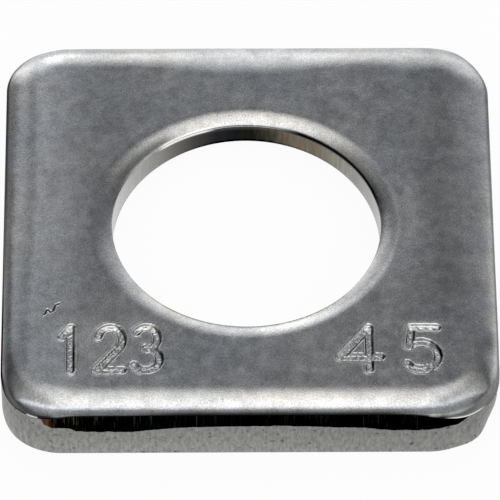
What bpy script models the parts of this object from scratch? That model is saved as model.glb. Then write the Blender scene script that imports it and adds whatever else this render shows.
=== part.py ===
"""Square taper washer for an M8 bolt, blanked and pierced in one stroke from tapered stainless strip.

The washer lies on its flat face. The top face slopes down from the thick end, at the front (-Y), to the
thin end, at the back. Origin: middle of the square outline, on the flat face. +Z is up, units are metres.

Pressing leaves the same marks round the outside and round the hole. From the top down these are the die
roll, where the sheet was drawn down before it was cut, a straight burnished land, and a rougher zone that
broke off at a slight draft, down to an edge that tumbling has dulled.
"""

import math

import bmesh
import bpy

MM = 0.001

# Plan
SIDE = 18.0 * MM
LEFT_CORNER_RADIUS = 2.2 * MM
BACK_RIGHT_RADIUS = 2.35 * MM
FRONT_RIGHT_RADIUS = 2.65 * MM  # the blunt corner
HOLE_DIAMETER = 9.85 * MM
HOLE_OFFSET_X = -0.09 * MM  # pierced a little off the middle
HOLE_OFFSET_Y = -0.02 * MM

# Thickness
THICK_END = 2.8 * MM
THIN_END = 1.0 * MM

# Die roll, wider than it is deep. Outside it runs down into the wall, and at the hole it ends in an edge.
FRONT_ROLL_WIDTH = 1.15 * MM
BACK_ROLL_WIDTH = 1.6 * MM
OUTER_ROLL_DEPTH = 0.45 * MM
FRONT_LEFT_DROOP = 0.33 * MM  # how much deeper it is in the middle of the corner
FRONT_RIGHT_DROOP = 0.6 * MM
DROOP_REACH = 2.0 * MM  # along the outline, from the middle of the corner to where the droop begins
DROOP_FULL = 0.6 * MM
HOLE_ROLL_WIDTH = 0.76 * MM
HOLE_ROLL_DEPTH = 0.2 * MM

# Cut walls
OUTER_LAND_SHARE = 0.27  # of the wall under the die roll, the rest is the broken zone
HOLE_BREAK_SHARE = 0.2  # height of the broken zone, as a share of the thickness there
OUTER_DRAFT = 0.01 * MM  # how far the broken zone stands back at the flat face
HOLE_DRAFT = 0.2 * MM
DULLED_EDGE = 0.03 * MM

# Smoothness of the mesh
CORNER_STEPS = 10
SIDE_STEPS = 14
OUTER_ROLL_STEPS = 8
HOLE_ROLL_STEPS = 6
DULLED_STEPS = 2
SHARP_ANGLE = math.radians(30)

STEEL_COLOUR = (0.52, 0.52, 0.515, 1.0)
STEEL_ROUGHNESS = 0.3

NAME = "taper_washer"


def clear_scene():
    for obj in list(bpy.data.objects):
        bpy.data.objects.remove(obj)


def top_height(y):
    """Height of the sloping top face above the flat face."""
    run = (y + SIDE / 2) / SIDE
    return THICK_END + (THIN_END - THICK_END) * run


# Corners, anticlockwise: side in x, side in y, radius, width of the die roll, and droop
CORNERS = [
    (-1, -1, LEFT_CORNER_RADIUS, FRONT_ROLL_WIDTH, FRONT_LEFT_DROOP),
    (1, -1, FRONT_RIGHT_RADIUS, FRONT_ROLL_WIDTH, FRONT_RIGHT_DROOP),
    (1, 1, BACK_RIGHT_RADIUS, BACK_ROLL_WIDTH, 0.0),
    (-1, 1, LEFT_CORNER_RADIUS, BACK_ROLL_WIDTH, 0.0),
]


def square_plan(inset=0.0, rolled=0.0):
    """Rounded square as (x, y) points, anticlockwise from the front left corner.

    It lies inside the outline by the inset and by a share of the die roll, which is rolled.
    """
    arcs = []
    for quarter, (side_x, side_y, radius, roll_width, droop) in enumerate(CORNERS):
        centre_x = side_x * (SIDE / 2 - radius)
        centre_y = side_y * (SIDE / 2 - radius)
        arc = []
        for step in range(CORNER_STEPS + 1):
            angle = math.pi + math.pi / 2 * (quarter + step / CORNER_STEPS)
            reach = radius - inset - rolled * roll_width
            arc.append((centre_x + reach * math.cos(angle), centre_y + reach * math.sin(angle)))
        arcs.append(arc)
    points = []
    for arc, next_arc in zip(arcs, arcs[1:] + arcs[:1]):
        points += arc
        (x0, y0), (x1, y1) = arc[-1], next_arc[0]
        for step in range(1, SIDE_STEPS):
            along = step / SIDE_STEPS
            points.append((x0 + (x1 - x0) * along, y0 + (y1 - y0) * along))
    return points


def roll_depths():
    """Depth of the outer die roll at each point of the square. It droops in the two front corners."""
    middles = []
    for side_x, side_y, radius, roll_width, droop in CORNERS:
        reach = SIDE / 2 - radius * (1 - math.sqrt(0.5))
        middles.append((side_x * reach, side_y * reach, droop))
    depths = []
    for x, y in square_plan():
        depth = OUTER_ROLL_DEPTH
        for middle_x, middle_y, droop in middles:
            away = math.hypot(x - middle_x, y - middle_y)
            near = (DROOP_REACH - away) / (DROOP_REACH - DROOP_FULL)
            near = min(max(near, 0.0), 1.0)
            depth += droop * near * near * (3 - 2 * near)
        depths.append(depth)
    return depths


def round_plan(radius):
    """The hole's circle, with each point on a line from the hole's centre to a point of the square."""
    points = []
    for x, y in square_plan():
        angle = math.atan2(y - HOLE_OFFSET_Y, x - HOLE_OFFSET_X)
        points.append((HOLE_OFFSET_X + radius * math.cos(angle), HOLE_OFFSET_Y + radius * math.sin(angle)))
    return points


def add_ring(bm, plan, share=1.0, depths=None):
    """A ring of points over a plan, at a share of the thickness there, less the depths."""
    depths = depths or [0.0] * len(plan)
    return [bm.verts.new((x, y, (top_height(y) - depth) * share)) for (x, y), depth in zip(plan, depths)]


def neighbours(ring):
    return zip(ring, ring[1:] + ring[:1])


def skin(bm, ring, next_ring):
    """The strip of faces from one ring to the next."""
    for (a, b), (c, d) in zip(neighbours(ring), neighbours(next_ring)):
        bm.faces.new((a, b, d, c))


def outer_roll(bm, depths):
    """Rings of the die roll round the outside, a quarter of an ellipse up from the wall."""
    rings = []
    for step in range(OUTER_ROLL_STEPS + 1):
        angle = math.pi / 2 * step / OUTER_ROLL_STEPS
        plan = square_plan(rolled=1 - math.cos(angle))
        rings.append(add_ring(bm, plan, depths=[depth * (1 - math.sin(angle)) for depth in depths]))
    return rings


def hole_roll(bm, hole_radius):
    """Rings of the die roll at the hole, from the sloping face to the wall, steeper all the way."""
    rings = []
    for step in range(HOLE_ROLL_STEPS + 1):
        along = step / HOLE_ROLL_STEPS
        plan = round_plan(hole_radius + HOLE_ROLL_WIDTH * (1 - along))
        rings.append(add_ring(bm, plan, depths=[HOLE_ROLL_DEPTH * along**2] * len(plan)))
    return rings


def edges_of(bm, ring):
    return [bm.edges.get(pair) for pair in neighbours(ring)]


def round_over(bm, edges):
    """Dulls the edges of the flat face."""
    bmesh.ops.bevel(
        bm,
        geom=edges,
        offset=DULLED_EDGE,
        offset_type="OFFSET",
        segments=DULLED_STEPS,
        profile=0.5,
        affect="EDGES",
        clamp_overlap=True,
    )


def washer_mesh():
    """The washer's section, carried round from the square outline to the round hole."""
    bm = bmesh.new()
    hole_radius = HOLE_DIAMETER / 2
    depths = roll_depths()
    outer_foot = add_ring(bm, square_plan(inset=OUTER_DRAFT), share=0.0)
    outer_break = add_ring(bm, square_plan(), share=1 - OUTER_LAND_SHARE, depths=depths)
    outer_top = outer_roll(bm, depths)
    hole_top = hole_roll(bm, hole_radius)
    hole_break = add_ring(bm, round_plan(hole_radius), share=HOLE_BREAK_SHARE)
    hole_foot = add_ring(bm, round_plan(hole_radius + HOLE_DRAFT), share=0.0)
    section = [outer_foot, outer_break, *outer_top, *hole_top, hole_break, hole_foot]
    for ring, next_ring in neighbours(section):
        skin(bm, ring, next_ring)
    round_over(bm, edges_of(bm, outer_foot) + edges_of(bm, hole_foot))
    mesh = bpy.data.meshes.new(NAME)
    bm.to_mesh(mesh)
    bm.free()
    mesh.shade_smooth()
    mesh.set_sharp_from_angle(angle=SHARP_ANGLE)
    return mesh


def stainless_steel():
    material = bpy.data.materials.new("stainless_steel")
    material.use_nodes = True
    shader = material.node_tree.nodes["Principled BSDF"]
    shader.inputs["Base Color"].default_value = STEEL_COLOUR
    shader.inputs["Metallic"].default_value = 1.0
    shader.inputs["Roughness"].default_value = STEEL_ROUGHNESS
    return material


def main():
    clear_scene()
    collection = bpy.data.collections.new("TaperWasher")
    bpy.context.scene.collection.children.link(collection)
    washer = bpy.data.objects.new(NAME, washer_mesh())
    washer.data.materials.append(stainless_steel())
    collection.objects.link(washer)


main()
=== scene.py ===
"""Looks of the square taper washer: a fine skin over the CAD solid, its steel, and a small white studio.

Lengths are in millimetres until a mesh is written, which is in metres. +X runs along the thick edge, the
thick end is at -Y, and z = 0 is the flat face that the washer lies on.
"""

import math

import bmesh
import bpy
import numpy as np
from mathutils import Matrix, Vector, noise


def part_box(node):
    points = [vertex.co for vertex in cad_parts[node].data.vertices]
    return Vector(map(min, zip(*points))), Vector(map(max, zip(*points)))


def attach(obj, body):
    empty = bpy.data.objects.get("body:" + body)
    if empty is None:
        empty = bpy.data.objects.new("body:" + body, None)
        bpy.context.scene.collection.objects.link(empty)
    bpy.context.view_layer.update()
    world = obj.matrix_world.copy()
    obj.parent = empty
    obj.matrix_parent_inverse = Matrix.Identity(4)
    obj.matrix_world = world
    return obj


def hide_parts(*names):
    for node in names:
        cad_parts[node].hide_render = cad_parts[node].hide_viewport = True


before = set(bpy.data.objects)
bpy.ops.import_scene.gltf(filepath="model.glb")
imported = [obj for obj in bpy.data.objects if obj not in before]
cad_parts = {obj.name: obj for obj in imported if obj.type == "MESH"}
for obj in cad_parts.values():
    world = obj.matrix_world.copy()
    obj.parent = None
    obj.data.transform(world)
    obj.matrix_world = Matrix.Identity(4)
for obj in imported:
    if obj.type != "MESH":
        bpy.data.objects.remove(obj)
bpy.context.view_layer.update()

MM = 0.001
NODE = "taper_washer"

# Form of the solid, as in the CAD model, but for the droop in the front corners, which is shallower here and
# reaches further. The side comes from the solid itself.
washer_low, washer_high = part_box(NODE)
SIDE = (washer_high.x - washer_low.x) / MM
THICK_END = 2.8
THIN_END = 1.0
LEFT_CORNER_RADIUS = 2.2
BACK_RIGHT_RADIUS = 2.35
FRONT_RIGHT_RADIUS = 2.65
HOLE_RADIUS = 9.85 / 2
HOLE_CENTRE = np.array([-0.09, -0.02])
FRONT_ROLL_WIDTH = 1.15
BACK_ROLL_WIDTH = 1.6
OUTER_ROLL_DEPTH = 0.45
FRONT_LEFT_DROOP = 0.27
FRONT_RIGHT_DROOP = 0.55
LEFT_DROOP_REACH = 2.4
RIGHT_DROOP_REACH = 2.9
DROOP_FULL = 0.6
HOLE_ROLL_WIDTH = 0.76
HOLE_ROLL_DEPTH = 0.2
OUTER_LAND_SHARE = 0.27
HOLE_BREAK_SHARE = 0.2
OUTER_DRAFT = 0.01
HOLE_DRAFT = 0.2
DULLED_EDGE = 0.03

# Corners, anticlockwise: side in x, side in y, radius, width of the die roll, and droop
CORNERS = [
    (-1, -1, LEFT_CORNER_RADIUS, FRONT_ROLL_WIDTH, FRONT_LEFT_DROOP),
    (1, -1, FRONT_RIGHT_RADIUS, FRONT_ROLL_WIDTH, FRONT_RIGHT_DROOP),
    (1, 1, BACK_RIGHT_RADIUS, BACK_ROLL_WIDTH, 0.0),
    (-1, 1, LEFT_CORNER_RADIUS, BACK_ROLL_WIDTH, 0.0),
]

# Only in the looks: the hole's sharp edge is broken a little, and the top is uneven and sinks a hair towards
# the sides and towards the right of the hole. The outer die roll is wider in the front left corner, and
# narrower along the back and again in the back corners. Towards the back it ends in an edge, as the hole's
# does. The hole's roll is wider on the left.
HOLE_EDGE = 0.04
UNEVENNESS = 0.006
CROWN = 0.08
DISH = 0.045
DISH_WIDTH = 1.85  # from the hole's edge
DISH_DIRECTION = np.array([0.95, 0.3])
BACK_ROLL_DEPTH = 0.37
FRONT_LEFT_WIDENING = 0.12
BACK_NARROWING = 0.36
BACK_LEFT_CORNER_NARROWING = 0.1
BACK_RIGHT_CORNER_NARROWING = 0.25
HOLE_LEFT_WIDENING = 0.15
CORNER_MIDDLE = 8.3  # about where the middle of each corner lies, in x and in y

# The wall leans out in the front right corner: share of the way round it, and millimetres at the die roll
FRONT_RIGHT_LEAN = [
    (0.3, 0.0),
    (0.44, -0.06),
    (0.54, 0.03),
    (0.63, 0.17),
    (0.74, 0.23),
    (0.86, 0.11),
    (0.98, 0.0),
]
# How far past the middle of that corner its droop is deepest, as a share of the way round it
DROOP_SHIFT = 0.08

# For each corner, how far its arc strays outward: share of the way round it, and millimetres
STRAYS = [
    [(0.0, 0.0), (0.15, 0.0), (0.47, 0.055), (0.8, 0.01), (1.0, 0.0)],
    [(0.0, 0.0), (0.27, 0.02), (0.44, 0.13), (0.54, 0.07), (0.63, -0.05), (0.74, -0.1), (1.0, 0.0)],
    [(0.0, 0.0), (0.3, -0.02), (0.5, 0.02), (0.66, 0.085), (0.85, 0.03), (1.0, 0.0)],
    [(0.0, 0.0), (0.2, -0.02), (0.4, 0.03), (0.7, 0.035), (1.0, 0.0)],
]
# Both tables are smoothed over these steps of the share
EASING = np.array([-0.06, -0.03, 0.0, 0.03, 0.06])

# Rows of the skin across each part of the section
FOOT_ROWS = 2
BROKEN_ROWS = 14
LAND_ROWS = 6
ROLL_ROWS = 15
TOP_ROWS = 34
HOLE_ROLL_ROWS = 11
HOLE_EDGE_ROWS = 3
HOLE_LAND_ROWS = 8
HOLE_LAND_PAINTED_ROWS = 2  # these are painted as the hole's edge above them is
HOLE_BROKEN_ROWS = 2
COLUMN_SPACING = 0.105
SHARP_ANGLE = math.radians(40)

# The burnished land round the outside. In front of this y it follows the table: x, and how far its lower
# border lies below the top of the wall.
FRONT_LAND_FROM = -6.3
LEAST_LAND = 0.02
FRONT_LAND = [
    (-7.52, 0.02),
    (-7.42, 0.36),
    (-7.1, 0.56),
    (-6.45, 0.72),
    (-6.28, 0.92),
    (-6.0, 0.98),
    (-5.1, 0.95),
    (-4.1, 0.98),
    (-3.2, 0.8),
    (-2.0, 0.7),
    (1.1, 0.64),
    (4.0, 0.78),
    (5.2, 0.95),
    (6.0, 0.93),
    (6.7, 0.7),
    (7.2, 0.45),
    (7.5, 0.36),
    (7.85, 0.02),
]


def smooth(low, high, value):
    """0 below low, 1 above high, and a smooth rise between. high may be the lower one."""
    t = np.clip((value - low) / (high - low), 0, 1)
    return t * t * (3 - 2 * t)


def top_height(y):
    run = (y + SIDE / 2) / SIDE
    return THICK_END + (THIN_END - THICK_END) * run


def noise_at(points, scale, seed):
    """Perlin noise, about -1 to 1, at each point. scale is the size of a blotch in millimetres."""
    return np.array([noise.noise(Vector(p) / scale + Vector((seed, seed, seed))) for p in points])


def at_zero(plan):
    """The points of a plan, with z = 0."""
    return np.column_stack([plan, np.zeros(len(plan))])


def looked_up(table, place):
    """Value of a table of (place, value), on straight lines between its rows."""
    return np.interp(place, *np.array(table).T)


def eased(table, share):
    """Value of a table of (share, value), with its corners smoothed."""
    return looked_up(table, share + EASING).mean()


# The outline, as columns that run round it


def outline_columns():
    """Points of the rounded square, with their outward normals, corner turns and widths of the die roll.

    Where the outline strays, the roll's inner border does not.
    """
    half = SIDE / 2
    points, normals, turns, widths = [], [], [], []
    for quarter, (side_x, side_y, radius, width, _) in enumerate(CORNERS):
        centre = np.array([side_x * (half - radius), side_y * (half - radius)])
        steps = round(radius * math.pi / 2 / COLUMN_SPACING)
        for step in range(steps + 1):
            angle = math.pi + math.pi / 2 * (quarter + step / steps)
            normal = np.array([math.cos(angle), math.sin(angle)])
            stray = eased(STRAYS[quarter], step / steps)
            points.append(centre + (radius + stray) * normal)
            normals.append(normal)
            turns.append(quarter + step / steps)
            widths.append(width + stray)
        next_x, next_y, next_radius, next_width, _ = CORNERS[(quarter + 1) % 4]
        next_centre = np.array([next_x * (half - next_radius), next_y * (half - next_radius)])
        start = points[-1]
        end = next_centre + next_radius * normals[-1]
        steps = round(np.linalg.norm(end - start) / COLUMN_SPACING)
        for step in range(1, steps):
            points.append(start + (end - start) * step / steps)
            normals.append(normals[-1])
            turns.append(quarter + 1.0)
            widths.append(width + (next_width - width) * step / steps)
    return np.array(points), np.array(normals), np.array(turns), np.array(widths)


outline, outward, turns, roll_width = outline_columns()
COLUMNS = len(outline)
outline_x, outline_y = outline.T
on_left = outline_x < 0
at_back = outline_y > 0
from_corner = np.hypot(np.abs(outline_x) - CORNER_MIDDLE, np.abs(outline_y) - CORNER_MIDDLE)
roll_width += FRONT_LEFT_WIDENING * smooth(3.0, 0.6, from_corner) * (on_left & ~at_back)
off_middle = smooth(1.0, 4.0, np.abs(outline_x)) - 0.7 * smooth(4.5, 6.5, outline_x)
roll_width -= BACK_NARROWING * off_middle * smooth(0.0, 8.0, outline_y)
corner_narrowing = np.where(on_left, BACK_LEFT_CORNER_NARROWING, BACK_RIGHT_CORNER_NARROWING)
roll_width -= corner_narrowing * smooth(2.0, 0.5, from_corner) * at_back
from_hole = outline - HOLE_CENTRE
hole_outward = from_hole / np.linalg.norm(from_hole, axis=1)[:, None]
hole_ring = HOLE_CENTRE + HOLE_RADIUS * hole_outward
hole_roll_width = HOLE_ROLL_WIDTH + HOLE_LEFT_WIDENING * smooth(-2.8, -4.4, hole_ring[:, 0])
lean = np.array([eased(FRONT_RIGHT_LEAN, turn - 1) if 1 <= turn < 2 else 0.0 for turn in turns])

# Lines round the section, as rows


class Row:
    """One ring of points: x and y, z, and the zone of the strip of faces from it to the next row.

    dark, from 0 to 1, is how much painted shade the steel carries there, and glint how much painted
    highlight.
    """

    def __init__(self, plan, z, zone, dark=0.0, glint=0.0):
        self.plan = plan
        self.z = z * np.ones(COLUMNS)
        self.zone = zone
        self.dark = dark * np.ones(COLUMNS)
        self.glint = glint * np.ones(COLUMNS)


FACE, LAND, BROKEN, HOLE_LAND = range(4)


def face_height(plan):
    """Height of the real top face, which is not quite flat."""
    x, y = plan.T
    offset = plan - HOLE_CENTRE
    away = np.linalg.norm(offset, axis=1)
    to_right = offset @ DISH_DIRECTION / away
    dish = smooth(HOLE_RADIUS + DISH_WIDTH, HOLE_RADIUS + 0.4, away) * smooth(0.55, 0.95, to_right)
    sunk = CROWN * smooth(6.0, 9.0, np.abs(x)) + DISH * dish
    return top_height(y) - sunk + UNEVENNESS * noise_at(at_zero(plan), 2.4, 11.0)


def roll_depths():
    """Depth of the outer die roll. It droops in the two front corners."""
    depths = OUTER_ROLL_DEPTH * np.ones(COLUMNS)
    for side_x, side_y, radius, _, droop in CORNERS:
        shift, reach = (DROOP_SHIFT, RIGHT_DROOP_REACH) if side_x > 0 else (0.0, LEFT_DROOP_REACH)
        angle = math.pi / 2 * (0.5 + shift)
        middle_x = SIDE / 2 - radius * (1 - math.sin(angle))
        middle_y = SIDE / 2 - radius * (1 - math.cos(angle))
        away = np.hypot(outline_x - side_x * middle_x, outline_y - side_y * middle_y)
        depths += droop * smooth(reach, DROOP_FULL, away)
    return depths


def land_height(wall):
    """Height of the burnished land round the outside. In the corners it all but runs out."""
    into_corner = 1 - np.abs(2 * (turns % 1.0) - 1)
    share = OUTER_LAND_SHARE * (1 - 0.8 * smooth(0.2, 0.5, into_corner)) * smooth(-6.8, -4.8, outline_y)
    elsewhere = np.maximum(wall * share, LEAST_LAND)
    land = np.where(outline_y < FRONT_LAND_FROM, looked_up(FRONT_LAND, outline_x), elsewhere)
    here = at_zero(outline)
    jagged = 0.05 * noise_at(here, 0.7, 3.0) + 0.05 * noise_at(here, 0.25, 8.0)
    return np.maximum(land * (1 + jagged), LEAST_LAND)


def lower_roll(angle):
    """Painted shade on the steep end of the outer die roll: how dark it is, by the side that it faces.

    corner is 1 in the middle of a front corner. left and right are how far it darkens, and start and width,
    in quarter turns, are where.
    """
    x, y = outward.T
    front = np.where(y < 0, y**2, 0)
    corner = 4 * front * x**2
    left = front + (0.76 + 0.14 * smooth(-2.0, -6.0, outline_y) - 0.3 * corner) * x**2
    right = front**2 + 0.5 * x**2 + 0.15 * corner
    start = np.where(x < 0, 0.7 - 0.16 * corner * x**2, 0.7 + 0.06 * front - 0.34 * corner * x**2)
    towards_ends = 0.07 * smooth(-2.0, -5.0, outline_x) + 0.08 * smooth(4.6, 6.3, outline_x)
    start = start + towards_ends * smooth(0.96, 1.0, front)
    width = 0.1 + 0.1 * front
    return np.where(x < 0, left, right) * smooth(start, start + width, angle / (math.pi / 2))


def corner_shade(plan):
    """A soft shade over the outer die roll, round the front right corner."""
    x, y = plan.T
    return 0.36 * smooth(7.85, 8.3, x) * smooth(8.7, 8.45, x) * smooth(-7.1, -7.6, y)


def rim_glint(angle):
    """Two thin lights on the rim of the outer die roll, in the front corners."""
    left = smooth(-8.1, -8.0, outline_x) * smooth(-7.62, -7.74, outline_x)
    right = smooth(6.9, 7.4, outline_x) * smooth(8.45, 8.2, outline_x)
    return ~at_back * (left + right) * smooth(0.92, 1.0, angle / (math.pi / 2))


def outer_roll(angle):
    """Plan and height of the outer die roll. angle is 0 on the flat and a quarter turn at the wall."""
    across = math.sin(angle)
    plan = outline + outward * (lean * across - roll_width * (1 - across))[:, None]
    towards_back = smooth(-5.0, 7.0, outline_y)
    round_drop = roll_depths() * (1 - math.cos(angle))
    edged_drop = BACK_ROLL_DEPTH * across**2
    return plan, face_height(plan) - round_drop + (round_drop - edged_drop) * towards_back


def outer_rows():
    """The outside, from its foot up to the top face."""
    rows = []
    wall = outer_roll(math.pi / 2)[1]
    land = land_height(wall)
    break_line = wall - land
    for step in range(FOOT_ROWS):
        angle = math.pi / 2 * step / FOOT_ROWS
        inset = OUTER_DRAFT + DULLED_EDGE * (1 - math.sin(angle))
        rows.append(Row(outline - outward * inset, DULLED_EDGE * (1 - math.cos(angle)), BROKEN))
    for step in range(BROKEN_ROWS):
        along = step / BROKEN_ROWS
        z = DULLED_EDGE + (break_line - DULLED_EDGE) * along
        here = np.column_stack([outline, z])
        rough = 0.012 * noise_at(here, 0.35, 1.0) + 0.008 * noise_at(here, 0.12, 5.0)
        inset = OUTER_DRAFT * (1 - along) + rough * math.sin(math.pi * along) ** 0.5
        out = lean * z / wall - np.maximum(inset, 0)
        rows.append(Row(outline + outward * out[:, None], z, BROKEN))
    for step in range(LAND_ROWS):
        z = break_line + land * step / LAND_ROWS
        out = lean * z / wall
        rows.append(Row(outline + outward * out[:, None], z, LAND))
    for step in range(ROLL_ROWS):
        angle = math.pi / 2 * (1 - step / ROLL_ROWS)
        plan, z = outer_roll(angle)
        # Painted shade on the steep end of the roll and round the front right corner, and painted highlights
        # on its rim
        glint = rim_glint(angle)
        dark = np.maximum(lower_roll(angle), corner_shade(plan))
        rows.append(Row(plan, z, FACE, dark * (1 - glint), glint))
    return rows


def top_rows():
    """The top face, from the outer die roll to the hole's."""
    rows = []
    flat_from = outline - outward * roll_width[:, None]
    flat_to = hole_ring + hole_outward * hole_roll_width[:, None]
    for step in range(TOP_ROWS):
        plan = flat_from + (flat_to - flat_from) * step / TOP_ROWS
        rows.append(Row(plan, face_height(plan), FACE))
    return rows


def hole_roll(along):
    """Plan and height of the hole's die roll, which gets steeper all the way to its edge."""
    plan = hole_ring + hole_outward * (hole_roll_width * (1 - along))[:, None]
    return plan, face_height(plan) - HOLE_ROLL_DEPTH * along**2


def hole_rows():
    """The hole, from its die roll down to its foot. The far and near shades lie on the roll."""
    rows = []
    x, y = hole_ring.T
    # Painted shade and highlight: a painted dark line along the edge at the far right, a painted highlight
    # along it at the far left, and soft painted shades on the roll at the far left, far right and near right
    edge_dark = smooth(0.6, 2.0, x) * smooth(0.3, 1.5, y)
    edge_glint = smooth(-3.4, -3.0, x) * smooth(-1.1, -1.7, x) * (y > 0)
    far_left = 0.6 * smooth(-2.5, -3.1, x) * smooth(-4.95, -4.3, x) * (y > 0)
    far_right = 0.3 * smooth(2.5, 3.8, x) * smooth(0.2, 1.5, y)
    near_right = 0.22 * smooth(0.4, 2.0, x) * smooth(-0.6, -2.0, y)
    rolled = 1 - HOLE_EDGE / hole_roll_width
    for step in range(HOLE_ROLL_ROWS):
        along = rolled * step / HOLE_ROLL_ROWS
        plan, z = hole_roll(along)
        dark = far_left * smooth(0.35, 0.8, along) + (far_right + near_right) * smooth(0.0, 0.6, along)
        rows.append(Row(plan, z, FACE, dark))
    start = hole_roll(rolled)[1]
    edge = hole_roll(1.0)[1]
    for step in range(HOLE_EDGE_ROWS):
        along = step / HOLE_EDGE_ROWS
        z = (1 - along) ** 2 * start + 2 * along * (1 - along) * edge + along**2 * (edge - HOLE_EDGE)
        plan = hole_ring + hole_outward * HOLE_EDGE * (1 - along) ** 2
        rows.append(Row(plan, z, FACE, edge_dark, edge_glint))
    wall = edge - HOLE_EDGE
    break_line = HOLE_BREAK_SHARE * top_height(hole_ring[:, 1])
    for step in range(HOLE_LAND_ROWS):
        along = (step / HOLE_LAND_ROWS) ** 1.5
        painted = step < HOLE_LAND_PAINTED_ROWS
        z = wall + (break_line - wall) * along
        rows.append(Row(hole_ring, z, HOLE_LAND, edge_dark * painted, edge_glint * painted))
    for step in range(HOLE_BROKEN_ROWS):
        along = step / HOLE_BROKEN_ROWS
        z = break_line + (DULLED_EDGE - break_line) * along
        rows.append(Row(hole_ring + hole_outward * HOLE_DRAFT * along, z, BROKEN))
    for step in range(FOOT_ROWS + 1):
        angle = math.pi / 2 * (1 - step / FOOT_ROWS)
        inset = HOLE_DRAFT + DULLED_EDGE * (1 - math.sin(angle))
        rows.append(Row(hole_ring + hole_outward * inset, DULLED_EDGE * (1 - math.cos(angle)), FACE))
    return rows


# Stamped digits, as strokes in a box 1 wide and 1 high


def arc(centre_x, centre_y, radius_x, radius_y, start, end, steps=14):
    """An elliptical arc as points. Angles are in degrees, anticlockwise from +X."""
    angles = np.radians(np.linspace(start, end, steps))
    return list(zip(centre_x + radius_x * np.cos(angles), centre_y + radius_y * np.sin(angles)))


DIGITS = {
    "1": [[(0.2, 0.78), (0.55, 1.0), (0.55, 0.0)]],
    "2": [arc(0.5, 0.7, 0.45, 0.3, 165, -35) + [(0.05, 0.0), (0.95, 0.0)]],
    "3": [arc(0.45, 0.74, 0.42, 0.26, 150, -90), arc(0.45, 0.26, 0.5, 0.26, 90, -150)],
    "4": [[(0.95, 0.3), (0.0, 0.3), (0.68, 1.0), (0.68, 0.0)]],
    "5": [[(0.9, 1.0), (0.15, 1.0), (0.08, 0.55)] + arc(0.42, 0.33, 0.5, 0.33, 125, -145)],
}
STROKE_RADIUS = 0.172
STROKE_DEPTH = 0.1
SLANT = 0.35  # the tops of the digits are cut less deep, over this height
LIP_HEIGHT = 0.006
LIP_WIDTH = 0.045

# The left and the right group: height, and each digit with its left end and width
BASELINE = -7.17
LEFT_HEIGHT = 2.04
RIGHT_HEIGHT = 1.99
STAMPS = [
    (LEFT_HEIGHT, [("1", -6.95, 0.85), ("2", -5.56, 1.0), ("3", -4.2, 0.98)]),
    (RIGHT_HEIGHT, [("4", 3.27, 1.5), ("5", 5.64, 1.23)]),
]

# A short gouge behind the left stamp
GOUGE = [(-7.45, -4.48), (-7.33, -4.24), (-7.21, -4.36), (-7.11, -4.3), (-7.04, -4.02), (-6.9, -3.96)]
GOUGE_RADIUS = 0.055
GOUGE_DEPTH = 0.03

# Nothing below this height is stamped
CLEAR_OF_FLAT_FACE = 0.2


def stamped_segments():
    """Every straight piece of every stroke, as start and end points in plan."""
    starts, ends = [], []
    for height, group in STAMPS:
        for digit, left, width in group:
            for stroke in DIGITS[digit]:
                points = np.array(stroke) * [width, height] + [left, BASELINE]
                starts.append(points[:-1])
                ends.append(points[1:])
    return np.concatenate(starts), np.concatenate(ends)


def offset_from(plan, starts, ends):
    """Offset in plan to each point from the nearest of the segments."""
    nearest = np.full((len(plan), 2), 1e6)
    for start, end in zip(starts, ends):
        run = end - start
        along = np.clip(((plan - start) @ run) / (run @ run), 0, 1)
        offset = plan - start - along[:, None] * run
        closer = np.linalg.norm(offset, axis=1) < np.linalg.norm(nearest, axis=1)
        nearest[closer] = offset[closer]
    return nearest


def distance_to(plan, starts, ends):
    return np.linalg.norm(offset_from(plan, starts, ends), axis=1)


def on_top(z, normal):
    """Whether a face or point belongs to the top face, and not to a wall or the flat face."""
    return z > CLEAR_OF_FLAT_FACE * MM and normal.z > 0.9


def refine(bm, starts, ends, gouge):
    """Divides the faces of the top that the digits and the gouge reach."""
    top = [f for f in bm.faces if on_top(f.calc_center_median().z, f.normal)]
    centres = np.array([f.calc_center_median()[:2] for f in top]) / MM
    near = distance_to(centres, starts, ends) < STROKE_RADIUS + 3 * LIP_WIDTH + 0.1
    near |= distance_to(centres, gouge[:-1], gouge[1:]) < GOUGE_RADIUS + 0.15
    chosen = [f for f, wanted in zip(top, near) if wanted]
    edges = list({e for f in chosen for e in f.edges})
    bmesh.ops.subdivide_edges(bm, edges=edges, cuts=2, use_grid_fill=True)


def cut_digits(plan, offset):
    """How far the digits raise each point of the plan, the painted shadow on the right walls of the strokes
    and the painted highlights near their tops.
    """
    away = np.linalg.norm(offset, axis=1)
    here = at_zero(plan)
    inside = np.clip(1 - away / STROKE_RADIUS, 0, 1)
    digit_top = BASELINE + np.where(plan[:, 0] < 0, LEFT_HEIGHT, RIGHT_HEIGHT) + STROKE_RADIUS
    slant = 0.65 + 0.35 * smooth(0, SLANT, digit_top - plan[:, 1])
    groove = -STROKE_DEPTH * smooth(0, 0.45, inside) * slant
    torn = 0.016 * noise_at(here, 0.1, 2.0) + 0.014 * noise_at(here, 0.22, 4.0)
    groove += torn * smooth(0.3, 0.7, inside)
    lip = LIP_HEIGHT * np.exp(-(((away - STROKE_RADIUS - LIP_WIDTH) / LIP_WIDTH) ** 2))
    lip = lip * (0.7 + 1.2 * noise_at(here, 0.3, 7.0))
    # Painted shadow on the right walls of the strokes
    on_wall = smooth(0.0, 0.12, inside) * smooth(0.75, 0.45, inside)
    rightward = smooth(0.25, 0.85, offset[:, 0] / np.maximum(away, 1e-6))
    shadow = on_wall * rightward * np.clip(0.85 + 0.5 * noise_at(here, 0.35, 6.0), 0, 1)
    # Painted highlights near the tops of the strokes
    fleck_highlight = smooth(0.35, 0.6, inside) * smooth(0.75, 0.85, slant) * smooth(1.0, 0.9, slant)
    fleck_highlight = 0.6 * fleck_highlight * smooth(-0.05, 0.25, noise_at(here, 0.13, 12.0))
    return groove + lip, shadow, fleck_highlight


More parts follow.
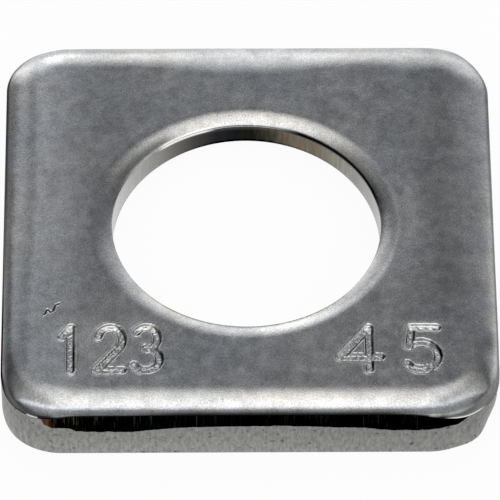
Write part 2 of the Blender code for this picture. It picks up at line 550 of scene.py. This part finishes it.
def stamp(bm, dark, glint):
    """Cuts the digits and the gouge into the top face."""
    starts, ends = stamped_segments()
    gouge = np.array(GOUGE)
    refine(bm, starts, ends, gouge)
    verts = [v for v in bm.verts if on_top(v.co.z, v.normal)]
    plan = np.array([v.co[:2] for v in verts]) / MM
    raised, shadow, fleck_highlight = cut_digits(plan, offset_from(plan, starts, ends))
    gouge_away = distance_to(plan, gouge[:-1], gouge[1:]) + 0.03 * noise_at(at_zero(plan), 0.1, 9.0)
    scrape = smooth(GOUGE_RADIUS, 0.3 * GOUGE_RADIUS, gouge_away)
    changes = raised - GOUGE_DEPTH * scrape
    # Painted shadow on the strokes' walls, the gouge painted dark, and painted highlights on the strokes
    for vert, change, shade, light in zip(verts, changes, np.maximum(shadow, scrape), fleck_highlight):
        vert.co.z += change * MM
        vert[dark] = max(vert[dark], shade)
        vert[glint] = max(vert[glint], light)


def build_skin():
    """Skins the rows into one closed mesh, with the zones as its materials."""
    rows = outer_rows() + top_rows() + hole_rows()
    bm = bmesh.new()
    dark = bm.verts.layers.float.new("dark")
    glint = bm.verts.layers.float.new("glint")
    rings = []
    for row in rows:
        points = np.column_stack([row.plan, row.z]) * MM
        ring = [bm.verts.new(p) for p in points]
        for vert, shade, light in zip(ring, row.dark, row.glint):
            vert[dark] = shade
            vert[glint] = light
        rings.append(ring)
    for index, ring in enumerate(rings):
        next_ring = rings[(index + 1) % len(rings)]
        for i in range(COLUMNS):
            j = (i + 1) % COLUMNS
            face = bm.faces.new((ring[i], ring[j], next_ring[j], next_ring[i]))
            face.material_index = rows[index].zone
            face.smooth = True
    bm.normal_update()
    stamp(bm, dark, glint)
    bm.normal_update()
    mesh = bpy.data.meshes.new("washer_skin")
    bm.to_mesh(mesh)
    bm.free()
    mesh.set_sharp_from_angle(angle=SHARP_ANGLE)
    skin = bpy.data.objects.new("washer_skin", mesh)
    bpy.context.scene.collection.objects.link(skin)
    return skin


# Materials


class Nodes:
    """A node tree with short calls to add nodes and link them."""

    def __init__(self, owner):
        owner.use_nodes = True
        self.tree = owner.node_tree
        self.tree.nodes.clear()

    def add(self, kind, inputs=None, **settings):
        made = self.tree.nodes.new(kind)
        for name, value in settings.items():
            setattr(made, name, value)
        for key, value in (inputs or {}).items():
            socket = made.inputs[key]
            if isinstance(value, bpy.types.NodeSocket):
                self.tree.links.new(value, socket)
            else:
                socket.default_value = value
        return made

    def maths(self, operation, a, b=0.0, c=0.0):
        return self.add("ShaderNodeMath", {0: a, 1: b, 2: c}, operation=operation).outputs[0]

    def millimetres(self):
        place = self.add("ShaderNodeTexCoord").outputs["Object"]
        return self.scaled(place, 1 / MM)

    def scaled(self, vector, factor):
        return self.add("ShaderNodeVectorMath", {0: vector, "Scale": factor}, operation="SCALE").outputs[0]

    def stretched(self, place, factors):
        return self.add("ShaderNodeVectorMath", {0: place, 1: factors}, operation="MULTIPLY").outputs[0]

    def noise(self, place, size, detail=2.0, roughness=0.5):
        """Noise from 0 to 1. size is a blotch's size in millimetres."""
        made = self.add(
            "ShaderNodeTexNoise",
            {"Vector": place, "Scale": 1 / size, "Detail": detail, "Roughness": roughness},
        )
        return made.outputs["Fac"]

    def ramp(self, value, low, high, from_value=0.0, to_value=1.0, smoothly=False):
        made = self.add(
            "ShaderNodeMapRange",
            {"Value": value, "From Min": low, "From Max": high, "To Min": from_value, "To Max": to_value},
            interpolation_type="SMOOTHSTEP" if smoothly else "LINEAR",
        )
        return made.outputs["Result"]

    def mix(self, factor, a, b):
        return self.add("ShaderNodeMix", {0: factor, 6: a, 7: b}, data_type="RGBA").outputs[2]

    def curve(self, value, low, high, stops, interpolation="LINEAR"):
        """Colour over a value that runs from low to high. Each stop is such a value and a colour."""
        made = self.add("ShaderNodeValToRGB", {"Fac": self.ramp(value, low, high)})
        made.color_ramp.interpolation = interpolation
        elements = made.color_ramp.elements
        while len(elements) < len(stops):
            elements.new(0.5)
        for element, (place, colour) in zip(elements, stops):
            element.position = (place - low) / (high - low)
            element.color = (*colour, 1)
        return made.outputs[0]

    def axes(self, vector):
        """The parts of a vector, by the names X, Y and Z."""
        return self.add("ShaderNodeSeparateXYZ", {0: vector}).outputs

    def painted(self, name):
        """A value that the skin carries at each point: dark, its painted shade, or glint, its painted
        highlight.
        """
        return self.add("ShaderNodeAttribute", attribute_name=name).outputs["Fac"]

    def bump(self, height, depth, normal=None):
        """depth is the height of a full step, in millimetres."""
        inputs = {"Height": height, "Distance": depth * MM}
        if normal:
            inputs["Normal"] = normal
        return self.add("ShaderNodeBump", inputs).outputs["Normal"]

    def surface(self, shader):
        self.add("ShaderNodeOutputMaterial", {"Surface": shader})

    def metal(self, inputs):
        self.surface(self.add("ShaderNodeBsdfPrincipled", {"Metallic": 1.0, **inputs}).outputs[0])


# Painted light and shade on the tumbled steel: x in millimetres, and shares of the brightness at the back and
# in front
PAINTED_SHADING = [
    (-9.0, 0.97, 0.94),
    (-7.5, 1.0, 0.98),
    (-6.6, 0.84, 0.98),
    (-5.0, 0.75, 0.95),
    (-3.0, 0.87, 0.93),
    (0.0, 0.9, 0.92),
    (4.0, 0.88, 0.93),
    (5.9, 0.87, 0.93),
    (7.1, 0.73, 0.88),
    (7.9, 0.85, 0.87),
    (9.0, 0.9, 0.86),
]


def painted_shading_share(n, across, column):
    """Share of the brightness from left to right, from a column of PAINTED_SHADING."""
    return n.curve(across, PAINTED_SHADING[0][0], PAINTED_SHADING[-1][0], [(row[0], (row[column],) * 3) for row in PAINTED_SHADING])


def tumbled_steel():
    """Top, rolls and flat face: satin steel with a fine grain and soft grey blotches, with painted light and
    shade across it, and painted shade and painted highlights where the skin carries them.
    """
    material = bpy.data.materials.new("tumbled_steel")
    n = Nodes(material)
    place = n.millimetres()
    grain = n.noise(n.stretched(place, (1.0, 0.9, 1.0)), 0.055, 2, 0.6)
    blotch = n.noise(n.stretched(place, (1.0, 0.8, 1.0)), 0.7, 4, 0.6)
    cloud = n.noise(place, 3.5, 2)
    shade = n.maths("MULTIPLY_ADD", grain, 1.2, 0.4)
    shade = n.maths("MULTIPLY_ADD", blotch, 0.75, n.maths("SUBTRACT", shade, 0.375))
    mottle = n.noise(n.stretched(place, (1.0, 0.8, 1.0)), 0.22, 3, 0.6)
    shade = n.maths("MULTIPLY_ADD", mottle, 0.4, n.maths("SUBTRACT", shade, 0.2))
    shade = n.maths("MULTIPLY_ADD", cloud, 0.3, n.maths("SUBTRACT", shade, 0.15))
    parts = n.axes(place)
    # Painted light and shade: brighter and darker bands from left to right, different at the back and in
    # front
    back, front = (painted_shading_share(n, parts["X"], column) for column in (1, 2))
    in_front = n.ramp(parts["Y"], -4.3, -5.1, smoothly=True)
    painted_shading = n.maths("MULTIPLY_ADD", n.maths("SUBTRACT", front, back), in_front, back)
    shade = n.maths("MULTIPLY", shade, painted_shading)
    tint = n.mix(n.ramp(cloud, 0.35, 0.65), (0.53, 0.546, 0.568, 1), (0.557, 0.557, 0.55, 1))
    colour = n.scaled(tint, shade)
    speck = n.noise(place, 0.11, 1)
    colour = n.mix(n.ramp(speck, 0.75, 0.8, 0, 0.6), colour, (0.8, 0.8, 0.8, 1))
    colour = n.mix(n.ramp(speck, 0.26, 0.21, 0, 0.5), colour, (0.15, 0.15, 0.16, 1))
    # Painted shade where the skin is marked dark: the steel goes nearly black and its edge tint dims
    dark = n.painted("dark")
    colour = n.mix(dark, colour, (0.004, 0.004, 0.005, 1))
    edge = n.mix(dark, (1, 1, 1, 1), (0.03, 0.03, 0.03, 1))
    # Painted highlight where the skin is marked with glint
    colour = n.mix(n.painted("glint"), colour, (0.97, 0.95, 0.93, 1))
    rough = n.ramp(n.noise(place, 0.4, 3), 0.3, 0.7, 0.16, 0.22)
    uneven = n.bump(n.noise(place, 0.9, 2), 0.008)
    grained = n.bump(grain, 0.003, normal=uneven)
    n.metal({"Base Color": colour, "Roughness": rough, "Specular Tint": edge, "Normal": grained})
    return material


def burnished_edge():
    """Sheared land round the outside: smooth with fine upright streaks, painted almost black as a painted
    reflection of dark surroundings, with a painted warm glint at its left front end.
    """
    material = bpy.data.materials.new("burnished_edge")
    n = Nodes(material)
    place = n.millimetres()
    streak = n.noise(n.stretched(place, (1.0, 1.0, 0.04)), 0.06, 2)
    parts = n.axes(place)
    # Painted reflection: the land is painted almost black for the dark surroundings it reflects
    colour = n.mix(n.ramp(streak, 0.55, 0.75), (0.004, 0.006, 0.005, 1), (0.03, 0.036, 0.032, 1))
    # Painted warm glint at the left end of the front land
    warm_glint = n.mix(n.ramp(streak, 0.35, 0.6), (0.012, 0.01, 0.01, 1), (0.14, 0.075, 0.05, 1))
    at_end = n.ramp(n.maths("MULTIPLY_ADD", streak, 0.5, parts["X"]), -6.75, -6.95)
    at_end = n.maths("MULTIPLY", at_end, n.ramp(parts["Y"], -7.6, -8.2))
    colour = n.mix(at_end, colour, warm_glint)
    scratch = n.ramp(n.noise(n.stretched(place, (1.0, 1.0, 0.04)), 0.035, 1), 0.6, 0.68)
    scratch = n.maths("MULTIPLY", scratch, n.ramp(parts["X"], -5.2, -5.7))
    colour = n.mix(scratch, colour, (0.06, 0.05, 0.035, 1))
    # A dark edge tint keeps the painted black dark at grazing angles
    edge = (0.03, 0.03, 0.03, 1)
    streaked = n.bump(streak, 0.002)
    n.metal({"Base Color": colour, "Roughness": 0.15, "Specular Tint": edge, "Normal": streaked})
    return material


# Painted reflections on the hole's wall from left to right: x in millimetres, and the colour
BORE = [
    (-4.8, (0.4, 0.4, 0.395)),
    (-3.3, (0.25, 0.247, 0.232)),
    (-2.7, (0.155, 0.148, 0.137)),
    (-2.0, (0.068, 0.066, 0.06)),
    (-1.2, (0.028, 0.028, 0.031)),
    (-0.4, (0.018, 0.019, 0.021)),
    (0.2, (0.02, 0.02, 0.015)),
    (0.8, (0.05, 0.046, 0.034)),
    (1.5, (0.155, 0.13, 0.1)),
    (2.6, (0.19, 0.165, 0.125)),
    (3.4, (0.26, 0.26, 0.22)),
    (4.8, (0.26, 0.265, 0.26)),
]
BORE_REACH = 5.0


def burnished_bore():
    """Sheared wall of the hole, in painted reflections: dark at the far side, brownish then pale to the
    right, grey to the left.
    """
    material = bpy.data.materials.new("burnished_bore")
    n = Nodes(material)
    place = n.millimetres()
    streak = n.noise(n.stretched(place, (1.0, 1.0, 0.12)), 0.12, 3, 0.6)
    parts = n.axes(place)
    across = n.maths("MULTIPLY_ADD", streak, 0.5, n.maths("SUBTRACT", parts["X"], 0.25))
    # Painted reflections, from left to right round the wall
    colour = n.curve(across, -BORE_REACH, BORE_REACH, BORE)
    colour = n.scaled(colour, n.maths("MULTIPLY_ADD", streak, 0.8, 0.6))
    # A paler band along the top of the wall: painted reflection
    slope = (THIN_END - THICK_END) / SIDE
    edge_height = n.maths("MULTIPLY_ADD", parts["Y"], slope, top_height(0.0) - HOLE_ROLL_DEPTH)
    near_edge = n.ramp(n.maths("SUBTRACT", edge_height, parts["Z"]), 0.3, 0.0, smoothly=True)
    colour = n.mix(n.maths("MULTIPLY", near_edge, 0.3), colour, (0.22, 0.22, 0.215, 1))
    # Painted shade and painted highlight that the skin carries
    dark = n.painted("dark")
    colour = n.mix(dark, colour, (0.01, 0.01, 0.01, 1))
    colour = n.mix(n.painted("glint"), colour, (0.97, 0.96, 0.95, 1))
    # The edge tint is dimmed where the painted reflection is darkest
    edge = n.ramp(n.maths("ABSOLUTE", across), 1.0, 4.0, 0.1, 1.0)
    streaked = n.bump(streak, 0.003)
    n.metal({"Base Color": colour, "Roughness": 0.22, "Specular Tint": edge, "Normal": streaked})
    return material


def broken_steel():
    """Broken zone: torn, matt and pitted."""
    material = bpy.data.materials.new("broken_steel")
    n = Nodes(material)
    place = n.millimetres()
    torn = n.noise(n.stretched(place, (1.0, 1.0, 0.35)), 0.12, 4, 0.65)
    pit = n.ramp(n.noise(place, 0.22, 3), 0.29, 0.38)
    colour = n.mix(n.ramp(torn, 0.35, 0.65), (0.21, 0.21, 0.2, 1), (0.35, 0.35, 0.335, 1))
    colour = n.mix(pit, (0.1, 0.1, 0.095, 1), colour)
    parts = n.axes(place)
    shade = n.maths("MULTIPLY", n.ramp(parts["Z"], 1.3, 0.1, 0.97, 1.2), n.ramp(parts["X"], -1, 5, 1, 0.9))
    n.metal({"Base Color": n.scaled(colour, shade), "Roughness": 0.5, "Normal": n.bump(torn, 0.03)})
    return material


skin = build_skin()
for material in (tumbled_steel(), burnished_edge(), broken_steel(), burnished_bore()):
    skin.data.materials.append(material)
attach(skin, "root")
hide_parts(NODE)

# Studio: the floor, in metres, and how much of what the camera sees of it is plain white
FLOOR_SIZE = 4.0
FLOOR_GAP = 0.00002
FLOOR_WHITE = 0.94


def add_floor():
    bpy.ops.mesh.primitive_plane_add(size=FLOOR_SIZE, location=(0, 0, -FLOOR_GAP))
    floor = bpy.context.object
    floor.name = "studio_floor"
    material = bpy.data.materials.new("white_paper")
    n = Nodes(material)
    paper = n.add("ShaderNodeBsdfDiffuse", {"Color": (0.95, 0.95, 0.95, 1)}).outputs[0]
    white = n.add("ShaderNodeEmission", {"Color": (1, 1, 1, 1), "Strength": 1.0}).outputs[0]
    path = n.add("ShaderNodeLightPath")
    seen = n.maths("MAXIMUM", path.outputs["Is Camera Ray"], path.outputs["Is Glossy Ray"])
    seen = n.maths("MAXIMUM", seen, path.outputs["Is Transmission Ray"])
    share = n.maths("MULTIPLY", seen, FLOOR_WHITE)
    n.surface(n.add("ShaderNodeMixShader", {0: share, 1: paper, 2: white}).outputs[0])
    floor.data.materials.append(material)


# The room in the plane that runs from back to front: degrees up from the back, level, and how warm
ROOM = [
    (0, 1.96, 0.3),
    (8, 1.92, 0.3),
    (17, 1.6, 0.2),
    (24, 1.25, 0.0),
    (31, 0.84, -0.5),
    (36, 0.55, -1.2),
    (40, 0.31, -1.5),
    (43, 0.2, -1.5),
    (46, 0.205, -1.0),
    (49, 0.36, -0.3),
    (53, 0.67, 0.1),
    (57, 0.97, 0.5),
    (62, 1.27, 0.8),
    (70, 1.52, 1.0),
    (80, 1.8, 0.9),
    (92, 1.9, 0.5),
    (100, 1.83, -0.2),
    (109, 1.27, -0.8),
    (119, 0.57, -1.2),
    (128, 0.38, -1.0),
    (143, 0.35, -0.5),
    (180, 0.35, 0.0),
]
BRIGHTEST = 2.0

# The room across, from left to right: x of the direction, and shares of the level low at the back, overhead
# and in front
SIDES = [
    (-1.0, 0.15, 0.22, 0.9),
    (-0.62, 0.17, 0.27, 1.4),
    (-0.54, 0.18, 0.27, 1.6),
    (-0.48, 0.72, 0.3, 1.6),
    (-0.38, 0.9, 0.43, 1.5),
    (-0.28, 0.78, 0.74, 1.3),
    (-0.22, 0.66, 0.92, 1.15),
    (-0.13, 1.5, 1.0, 1.05),
    (-0.06, 1.35, 1.0, 1.0),
    (-0.02, 0.82, 1.0, 1.0),
    (0.02, 0.78, 1.0, 1.0),
    (0.06, 0.55, 1.0, 1.0),
    (0.12, 0.75, 1.0, 1.0),
    (0.3, 0.74, 0.85, 1.1),
    (0.43, 0.62, 0.53, 1.3),
    (0.56, 0.52, 0.4, 1.3),
    (0.73, 0.42, 0.47, 1.2),
    (1.0, 0.3, 0.5, 1.0),
]
HIGHEST_SHARE = 1.6


def side_share(n, x, column):
    """Share of the room's level by the x of the direction, from a column of SIDES."""
    stops = [(row[0], (row[column] / HIGHEST_SHARE,) * 3) for row in SIDES]
    return n.maths("MULTIPLY", n.curve(x, -1.0, 1.0, stops, "EASE"), HIGHEST_SHARE)


def add_world():
    """A white backdrop low at the back, a broad soft light overhead, and a dim room in front."""
    world = bpy.data.worlds.new("room")
    bpy.context.scene.world = world
    n = Nodes(world)
    parts = n.axes(n.add("ShaderNodeTexCoord").outputs["Generated"])
    angle = n.maths("ARCTAN2", parts["Z"], parts["Y"])
    stops = []
    for degrees, level, warm in ROOM:
        scaled = level / BRIGHTEST
        stop_colour = (scaled * (1 + 0.03 * warm), scaled, scaled * (1 - 0.05 * warm))
        stops.append((math.radians(degrees), stop_colour))
    colour = n.curve(angle, 0.0, math.pi, stops, "EASE")
    low, overhead, front = (side_share(n, parts["X"], column) for column in (1, 2, 3))
    high = n.ramp(angle, math.radians(46), math.radians(64), smoothly=True)
    share = n.maths("MULTIPLY_ADD", n.maths("SUBTRACT", overhead, low), high, low)
    ahead = n.ramp(angle, math.radians(92), math.radians(114), smoothly=True)
    share = n.maths("MULTIPLY_ADD", n.maths("SUBTRACT", front, share), ahead, share)
    level = n.maths("MULTIPLY", share, BRIGHTEST)
    background = n.add("ShaderNodeBackground", {"Color": colour, "Strength": level})
    n.add("ShaderNodeOutputWorld", {"Surface": background.outputs[0]})


# Camera, at the photograph's angle
CAMERA_ELEVATION = math.radians(53.87)
CAMERA_TURN = math.radians(-0.81)
CAMERA_ROLL = math.radians(0.44)
CAMERA_DISTANCE = 234.9
CAMERA_TARGET = Vector((0.04, -0.81, 1.2))
LENS = 461.0


def add_camera():
    camera = bpy.data.objects.new("camera", bpy.data.cameras.new("camera"))
    camera.data.lens = LENS
    camera.data.sensor_width = 36.0
    camera.data.clip_start = 0.01
    bpy.context.scene.collection.objects.link(camera)
    turn = Matrix.Rotation(CAMERA_TURN, 4, "Z")
    tilt = Matrix.Rotation(math.pi / 2 - CAMERA_ELEVATION, 4, "X")
    roll = Matrix.Rotation(CAMERA_ROLL, 4, "Z")
    facing = turn @ tilt @ roll
    towards_camera = facing.to_3x3() @ Vector((0, 0, 1))
    place = (CAMERA_TARGET + towards_camera * CAMERA_DISTANCE) * MM
    camera.matrix_world = Matrix.Translation(place) @ facing
    bpy.context.scene.camera = camera


add_floor()
add_world()
add_camera()
bpy.context.scene.view_settings.view_transform = "Standard"
